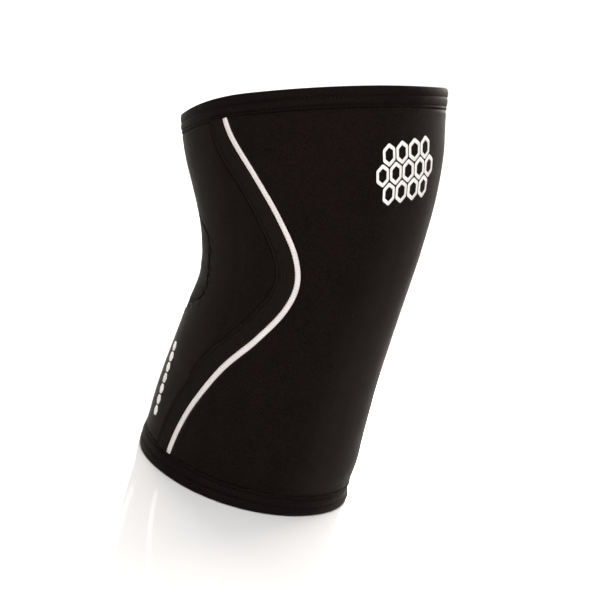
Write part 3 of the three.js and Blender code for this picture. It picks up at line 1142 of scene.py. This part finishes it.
def paintedGrooveShade(tree, spot, look):  # painted shade: darker dashed lines where the stitching's grooves hold shade, and a lighter painted highlight where a strength is negative
    work = partial(calculate, tree)
    place = addNode(tree, "ShaderNodeSeparateXYZ", {0: spot}).outputs
    over, along = (place[0], place[1]) if look["alongY"] else (place[1], place[0])
    dashes = work("MULTIPLY_ADD", wave(tree, along, look["pitch"]), look["broken"], 1 - look["broken"])
    total = 0.0
    for line, width, strength in look["lines"]:
        reach = work("DIVIDE", work("SUBTRACT", over, line * mm), width * mm)
        pulse = work("EXPONENT", work("MULTIPLY", work("MULTIPLY", reach, reach), -1.0))
        total = work("MULTIPLY_ADD", pulse, strength, total)
    return work("MULTIPLY", total, dashes)


def clothMaterial(name):
    look = cloths[name]
    finish = look["roughness"], clothLook["specular"], look["sheen"], look["sheenTint"]
    material, tree, shader = newMaterial(name, *finish)
    work = partial(calculate, tree)
    spot = addNode(tree, "ShaderNodeUVMap", uv_map="Cloth").outputs[0]
    sizes = {"Place": spot, "Wale": look["wale"], "Course": look["course"]}
    knit = addNode(tree, "ShaderNodeGroup", sizes, node_tree=knitStitches).outputs
    mottle = mottleOn(tree, clothLook["patch"], clothLook["fleck"])
    uneven = work("MULTIPLY", mottle["Flecks"], 1 - clothLook["patchShare"])
    uneven = work("MULTIPLY_ADD", mottle["Patches"], clothLook["patchShare"], uneven)
    depth = work("MULTIPLY_ADD", work("SUBTRACT", uneven, 0.5), look["mottle"] * 2.4, 0.12)
    # the darker colour comes from the cloth's own uneven tone and from painted shade in the knit's gaps
    shade = work("MULTIPLY_ADD", knit["Gap Shade"], 0.6, depth)
    # painted shade and highlight along the stitching's grooves and ridges
    if "paintedGrooves" in look:
        shade = work("ADD", shade, paintedGrooveShade(tree, spot, look["paintedGrooves"]))
    shade = work("MINIMUM", work("MAXIMUM", shade, -0.8), 1.0)
    tree.links.new(mixColours(tree, shade, look["colour"], look["deep"]), shader["Base Color"])
    roughen = clothLook["flecksRoughen"]
    rough = work("MULTIPLY_ADD", mottle["Flecks"], roughen, look["roughness"] - roughen / 2)
    tree.links.new(rough, shader["Roughness"])
    fuzz = addNode(tree, "ShaderNodeLayerWeight", {"Blend": 0.5}).outputs["Facing"]
    fuzz = work("MULTIPLY", work("POWER", fuzz, clothLook["fuzzNarrow"]), look["fuzz"])
    tree.links.new(fuzz, shader["Coat Weight"])
    shader["Coat Roughness"].default_value = clothLook["fuzzRoughness"]
    shader["Coat Tint"].default_value = clothLook["fuzzTint"]
    addRelief(tree, shader, work("MULTIPLY_ADD", mottle["Flecks"], 0.5, knit["Height"]), look["relief"])
    return material


trimLook = {
    "colour": (0.69, 0.655, 0.65),
    "soiledAndShaded": (0.47, 0.44, 0.43),
    "roughness": 0.7,
    "specular": 0.2,
    "sheen": 0.05,
    "fibre": 0.28 * mm,
    "patch": 9 * mm,
    "fleck": 0.7 * mm,
    "relief": 0.1 * mm,
}


def trimMaterial():  # white satin thread, laid side by side across the trim
    look = trimLook
    material, tree, shader = newMaterial("whiteThread", look["roughness"], look["specular"], look["sheen"])
    work = partial(calculate, tree)
    spot = addNode(tree, "ShaderNodeUVMap", uv_map="Cloth").outputs[0]
    along = addNode(tree, "ShaderNodeSeparateXYZ", {0: spot}).outputs[1]
    rib = wave(tree, along, pipingShape["threadPitch"])
    fine = wave(tree, along, look["fibre"])
    mottle = mottleOn(tree, look["patch"], look["fleck"])
    # patches of soiling, and painted shade in the grooves between the threads and their fibres
    soilingAndGrooveShade = work("MULTIPLY_ADD", rib, -0.16, work("MULTIPLY", mottle["Patches"], 0.7))
    soilingAndGrooveShade = work("MULTIPLY_ADD", fine, -0.08, soilingAndGrooveShade)
    tree.links.new(mixColours(tree, soilingAndGrooveShade, look["colour"], look["soiledAndShaded"]), shader["Base Color"])
    height = work("MULTIPLY_ADD", rib, 0.5, work("MULTIPLY", fine, 0.2))
    addRelief(tree, shader, work("ADD", height, mottle["Flecks"]), look["relief"])
    return material


threadLook = {
    "colour": (0.0048, 0.0036, 0.0032),
    "deep": (0.0016, 0.0012, 0.001),
    "roughness": 0.8,
    "specular": 0.06,
    "grain": 0.4 * mm,
    "relief": 0.08 * mm,
}
printLook = {
    "colour": (0.8, 0.785, 0.76),
    "deep": (0.68, 0.665, 0.64),
    "roughness": 0.5,
    "specular": 0.35,
    "grain": 0.8 * mm,
    "relief": 0.03 * mm,
}
floorLook = {
    "colour": (0.74, 0.74, 0.745),
    "deep": (0.73, 0.73, 0.735),
    "roughness": 0.05,
    "specular": 0.9,
    "grain": 30 * mm,
    "relief": 0.00001 * mm,
}


def plainMaterial(name, look):
    material, tree, shader = newMaterial(name, look["roughness"], look["specular"])
    mottle = mottleOn(tree, 8 * mm, look["grain"])
    tree.links.new(mixColours(tree, mottle["Flecks"], look["colour"], look["deep"]), shader["Base Color"])
    rough = calculate(tree, "MULTIPLY_ADD", mottle["Patches"], 0.2, look["roughness"] - 0.1)
    tree.links.new(rough, shader["Roughness"])
    addRelief(tree, shader, mottle["Flecks"], look["relief"])
    return material


neoprene, hollowFabric = clothMaterial("neopreneFace"), clothMaterial("hollowFabric")
bandFabric, hemBinding = clothMaterial("bandFabric"), clothMaterial("hemBinding")
whiteThread = trimMaterial()
darkThread, whitePrint = plainMaterial("darkThread", threadLook), plainMaterial("whitePrint", printLook)
print("materials made")

frontPanel = addPiece(buildFrontPanel(), "front_panel_face", neoprene, "front_panel")
print("front panel made")
backPanel = addPiece(buildBackPanel(), "back_panel_face", neoprene, "back_panel")
print("back panel made")
hollow = buildKneeHollow()
kneeHollow = addPiece(hollow, "knee_hollow_face", hollowFabric, "knee_hollow_panel")
addPiece(buildHollowStitches(), "knee_hollow_stitching", darkThread)
print("knee hollow made")
for side, mirrored in (("right", False), ("left", True)):
    band = buildSideBand(mirrored)
    addPiece(band, "side_band_face_" + side, bandFabric, "side_band_" + side)
    addPiece(buildBandStitches(mirrored), "side_band_stitching_" + side, darkThread)
    piping = buildSidePiping(mirrored)
    addPiece(piping, "side_piping_face_" + side, whiteThread, "side_piping_" + side)
print("side ribbons made")
for rimName, rim, inward in (("top", leg["length"], -1), ("bottom", 0, 1)):
    addPiece(buildHem(rim, inward), rimName + "_hem_face", hemBinding, rimName + "_hem")
    addPiece(buildHemStitches(rim, inward), rimName + "_hem_stitching", darkThread)
print("hems made")
addPiece(buildRoundel(), "thigh_print", whitePrint)
addPiece(buildStrip(), "calf_print", whitePrint)
print("prints made")
# the view: the aim lies at the middle of the picture, the lens is in millimetres
view = {
    "aim": Vector((9.09, -16.37, 115.75)) * mm,
    "azimuth": math.radians(-50.48),
    "elevation": math.radians(17.02),
    "roll": math.radians(17.47),
    "distance": 1.7,
    "lens": 161.6,
}


def addCamera():
    sideways = math.sin(view["azimuth"]), math.cos(view["azimuth"])
    rise = math.sin(view["elevation"]), math.cos(view["elevation"])
    back = Vector((sideways[0] * rise[1], -sideways[1] * rise[1], rise[0]))
    right = Vector((sideways[1], sideways[0], 0))
    turn = Matrix((right, back.cross(right), back)).transposed().to_4x4()
    turn @= Matrix.Rotation(view["roll"], 4, "Z")
    data = bpy.data.cameras.new("view")
    data.lens = view["lens"]
    data.sensor_width = 36
    camera = addObject("view", data)
    camera.matrix_world = Matrix.Translation(view["aim"] + back * view["distance"]) @ turn
    bpy.context.scene.camera = camera


paleTint, warmTint = (1, 0.97, 0.94), (1, 0.92, 0.85)
# azimuth and elevation in degrees as seen from the sleeve, distance and size in metres, power in watts
lamps = tableOf(
    "name azimuth elevation distance size power tint",
    ("key", -46, 42, 2.0, 1.6, 36, paleTint),
    ("fill", -44, 24, 2.0, 1.4, 12, paleTint),
    ("rimRight", 108, 18, 1.6, 1.0, 40, warmTint),
    ("rimLeft", 152, 20, 1.6, 1.0, 23, warmTint),
)
lampsAim = Vector((0, 0, 0.13))


def addLamps():
    for lamp in lamps:
        azimuth, elevation = math.radians(lamp["azimuth"]), math.radians(lamp["elevation"])
        level = math.cos(elevation)
        way = Vector((math.sin(azimuth) * level, -math.cos(azimuth) * level, math.sin(elevation)))
        data = bpy.data.lights.new(lamp["name"], "AREA")
        data.shape = "DISK"
        data.size = lamp["size"]
        data.energy = lamp["power"]
        data.color = lamp["tint"]
        turn = way.to_track_quat("Z", "Y").to_matrix().to_4x4()
        light = addObject(lamp["name"], data)
        light.matrix_world = Matrix.Translation(lampsAim + way * lamp["distance"]) @ turn


room = {
    "behind": (0.77, 0.64, 0),  # the white wall's direction
    "wallEdge": (0.3, 0.85),
    "wall": 0.95,  # brightness of the wall, of the rest of the room, and of what the camera sees
    "rest": 0.1,
    "seen": 1.05,
    "sun": 1.5,
    "sunAngle": math.radians(60),
    "floorRadius": 1.35,
    "floorFades": 0.45,
    "floorDrop": 0.3 * mm,
}


def softRange(tree, value, low, high, first, last):
    ends = {"Value": value, "From Min": low, "From Max": high, "To Min": first, "To Max": last}
    return addNode(tree, "ShaderNodeMapRange", ends, interpolation_type="SMOOTHSTEP").outputs[0]


def addSurroundings():
    world = bpy.data.worlds.new("whiteRoom")
    world.use_nodes = True
    tree = world.node_tree
    tree.nodes.clear()
    way = addNode(tree, "ShaderNodeTexCoord").outputs["Generated"]
    aside = {0: way, 1: room["behind"]}
    facing = addNode(tree, "ShaderNodeVectorMath", aside, operation="DOT_PRODUCT").outputs["Value"]
    bright = softRange(tree, facing, *room["wallEdge"], room["rest"], room["wall"])
    seen = addNode(tree, "ShaderNodeLightPath").outputs["Is Camera Ray"]
    bright = calculate(tree, "MAXIMUM", bright, calculate(tree, "MULTIPLY", seen, room["seen"]))
    light = addNode(tree, "ShaderNodeBackground", {"Color": (1, 1, 1, 1), "Strength": bright})
    surround = addNode(tree, "ShaderNodeOutputWorld")
    tree.links.new(light.outputs[0], surround.inputs[0])
    bpy.context.scene.world = world
    bpy.context.scene.view_settings.view_transform = "Standard"
    data = bpy.data.lights.new("ceiling", "SUN")
    data.energy = room["sun"]
    data.angle = room["sunAngle"]
    addObject("ceiling", data)


def addFloor():
    bm = bmesh.new()
    below = Matrix.Translation((0, 0, -room["floorDrop"]))
    bmesh.ops.create_circle(bm, cap_ends=True, segments=96, radius=room["floorRadius"], matrix=below)
    mesh = meshFrom(bm, "floor")
    floor = addObject("floor", mesh)
    pale = plainMaterial("paleFloor", floorLook)
    mesh.materials.append(pale)
    tree = pale.node_tree
    place = addNode(tree, "ShaderNodeTexCoord").outputs["Object"]
    away = addNode(tree, "ShaderNodeVectorMath", {0: place}, operation="LENGTH").outputs["Value"]
    solid = softRange(tree, away, room["floorFades"], room["floorRadius"], 1.0, 0.0)
    tree.links.new(solid, tree.nodes["Principled BSDF"].inputs["Alpha"])


addCamera()
addLamps()
addSurroundings()
addFloor()
print("view, light and floor made")
